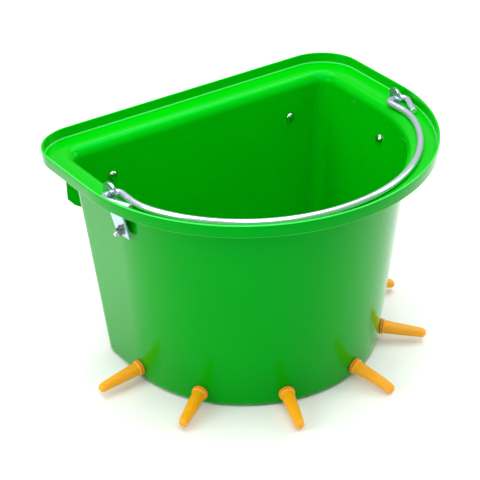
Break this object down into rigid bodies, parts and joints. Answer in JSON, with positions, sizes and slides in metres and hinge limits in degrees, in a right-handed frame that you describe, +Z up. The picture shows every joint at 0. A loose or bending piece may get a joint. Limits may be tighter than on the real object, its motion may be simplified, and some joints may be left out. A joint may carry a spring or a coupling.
{
  "type": "hanging animal feeder bucket",
  "caption": "Half-round plastic feeder bucket with a flat back, rubber teats along the front, a swinging wire bail on strap lugs and hook brackets for a rail.",
  "frame": {"origin": "on the underside of the base, midway across and just behind the start of the rim's front arc, where the moulded floor rests on the ground", "axes": "+X to the right when facing the rounded front, +Y towards the flat back that hangs on a rail, +Z up through the open mouth"},
  "size_m": [0.401, 0.3585, 0.2653],
  "materials": {
    "moulded_green_plastic": "glossy injection-moulded bright green",
    "bracket_green_plastic": "satin moulded green",
    "zinc_wire": "bright zinc-plated round wire",
    "zinc_strap": "zinc-plated flat strap, bright cut edges",
    "zinc_hardware": "zinc-plated washers and nuts",
    "bright_bolt": "polished dome-headed bolts",
    "teat_latex": "soft natural-latex amber rubber",
    "seal_rubber": "brown-pink rubber ring",
    "valve_plastic": "off-white moulded plastic"
  },
  "bodies": {
    "bucket": {"bucket_body": "moulded_green_plastic", "lug_left": "zinc_strap", "lug_left_bolt": "bright_bolt", "lug_left_washer": "zinc_hardware", "lug_left_nut": "zinc_hardware", "hanger_left": "bracket_green_plastic", "hanger_left_bolt": "bright_bolt", "hanger_left_washer": "zinc_hardware", "hanger_left_nut": "zinc_hardware", "lug_right": "zinc_strap", "lug_right_bolt": "bright_bolt", "lug_right_washer": "zinc_hardware", "lug_right_nut": "zinc_hardware", "hanger_right": "bracket_green_plastic", "hanger_right_bolt": "bright_bolt", "hanger_right_washer": "zinc_hardware", "hanger_right_nut": "zinc_hardware", "teat_1": "teat_latex", "teat_stem_1": "valve_plastic", "teat_seal_1": "seal_rubber", "teat_nut_1": "valve_plastic", "teat_2": "teat_latex", "teat_stem_2": "valve_plastic", "teat_seal_2": "seal_rubber", "teat_nut_2": "valve_plastic", "teat_3": "teat_latex", "teat_stem_3": "valve_plastic", "teat_seal_3": "seal_rubber", "teat_nut_3": "valve_plastic", "teat_4": "teat_latex", "teat_stem_4": "valve_plastic", "teat_seal_4": "seal_rubber", "teat_nut_4": "valve_plastic", "teat_5": "teat_latex", "teat_stem_5": "valve_plastic", "teat_seal_5": "seal_rubber", "teat_nut_5": "valve_plastic", "teat_6": "teat_latex", "teat_stem_6": "valve_plastic", "teat_seal_6": "seal_rubber", "teat_nut_6": "valve_plastic"},
    "bail": {"bail_handle": "zinc_wire"}
  },
  "joints": [
    {"name": "bail_swing", "type": "hinge", "parent": "bucket", "child": "bail", "pos_m": [0, -0.016, 0.2521], "axis": [-1, 0, 0], "range_deg": [0, 174]}
  ]
}
